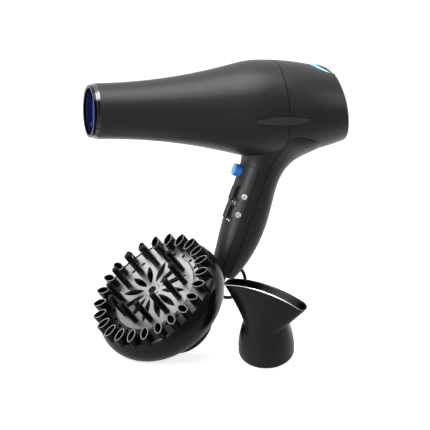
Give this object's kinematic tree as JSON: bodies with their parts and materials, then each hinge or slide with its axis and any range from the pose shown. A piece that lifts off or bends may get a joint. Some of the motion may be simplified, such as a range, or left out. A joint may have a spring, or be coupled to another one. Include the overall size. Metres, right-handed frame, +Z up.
{
  "type": "hair dryer",
  "caption": "Pistol-grip hair dryer with a ring light, rear filter cover, switch panel and corded handle, with its finger diffuser and slot concentrator standing beside it.",
  "frame": {"origin": "middle of the hand grip, on the handle's own axis", "axes": "+Z up, the air leaves towards -X along a level barrel, -Y is the left side with the air ahead"},
  "size_m": [0.242, 0.286, 0.2643],
  "materials": {
    "body": "soft-touch charcoal",
    "panel": "satin dark grey",
    "steel": "bright",
    "trim": "polished dark",
    "gloss_black": "glossy black",
    "grille_blue": "deep blue",
    "light_ring": "light blue diffusing",
    "board": "circuit board",
    "sleeve": "thin sheet",
    "mica": "mica board",
    "heater_wire": "ribbon wire",
    "brass": "stamped",
    "inner_plastic": "moulded",
    "rubber": "soft black",
    "copper": "enamelled winding",
    "mesh": "fine mesh",
    "blue_button": "satin blue",
    "cord": "black flex",
    "lead_blue": "insulated wire",
    "bright_plate": "bright",
    "tie": "strap",
    "brass_pin": "nickel plated"
  },
  "bodies": {
    "dryer": {"front_housing": "body", "rear_housing": "body", "handle_screw": "steel", "switch_panel": "panel", "left_side_trim": "trim", "right_side_trim": "trim", "outlet_collar": "gloss_black", "outlet_grille": "grille_blue", "light_ring": "light_ring", "light_ring_cap": "gloss_black", "led_board": "board", "heater_sleeve": "sleeve", "mica_frame": "mica", "heating_coil": "heater_wire", "thermostat": "brass", "thermal_fuse": "brass", "fan_duct": "inner_plastic", "damper_ring": "rubber", "motor_stator": "steel", "stator_windings": "copper", "front_bearing_bracket": "inner_plastic", "rear_bearing_bracket": "inner_plastic", "heat_switch_body": "inner_plastic", "speed_switch_body": "inner_plastic", "cool_shot_switch": "inner_plastic", "control_board": "board", "cord_guard": "rubber", "hanging_loop": "body", "inner_cord": "cord", "cord_clamp": "inner_plastic", "supply_leads": "lead_blue", "cord_lead": "cord", "cord_coil": "cord", "cord_tail": "cord", "cord_tie": "tie", "plug_body": "cord", "plug_pins": "brass_pin"},
    "fan": {"motor_rotor": "steel", "fan_impeller": "inner_plastic"},
    "rear_filter": {"filter_cover": "body", "filter_mesh": "mesh"},
    "cool_button": {"cool_shot_button": "blue_button"},
    "heat_switch": {"heat_rocker": "panel"},
    "speed_switch": {"speed_rocker": "panel"},
    "concentrator": {"concentrator_nozzle": "gloss_black"},
    "diffuser": {"diffuser_bowl": "gloss_black", "diffuser_face": "bright_plate", "diffuser_scoops": "gloss_black", "diffuser_fingers": "gloss_black"}
  },
  "joints": [
    {"name": "fan_spin", "type": "hinge", "parent": "dryer", "child": "fan", "pos_m": [0, 0, 0.084], "axis": [1, 0, 0], "continuous": true},
    {"name": "filter_pull", "type": "slide", "parent": "dryer", "child": "rear_filter", "axis": [0.9895, 0, 0.1444], "range_m": [0, 0.03]},
    {"name": "cool_press", "type": "slide", "parent": "dryer", "child": "cool_button", "axis": [0.9426, 0, -0.3338], "range_m": [0, 0.003], "stiffness_N_per_m": 300, "springref_m": -0.002},
    {"name": "heat_rock", "type": "hinge", "parent": "dryer", "child": "heat_switch", "pos_m": [-0.01467, 0, 0.00562], "axis": [0.3338, 0, 0.9426], "range_deg": [-9, 9]},
    {"name": "speed_rock", "type": "hinge", "parent": "dryer", "child": "speed_switch", "pos_m": [-0.01979, 0, -0.01124], "axis": [0.3338, 0, 0.9426], "range_deg": [-9, 9]},
    {"name": "concentrator_lift", "type": "slide", "parent": "dryer", "child": "concentrator", "axis": [0, 0, 1], "range_m": [0, 0.06]},
    {"name": "diffuser_lift", "type": "slide", "parent": "dryer", "child": "diffuser", "axis": [-0.6251, -0.3609, 0.6921], "range_m": [0, 0.06]}
  ]
}
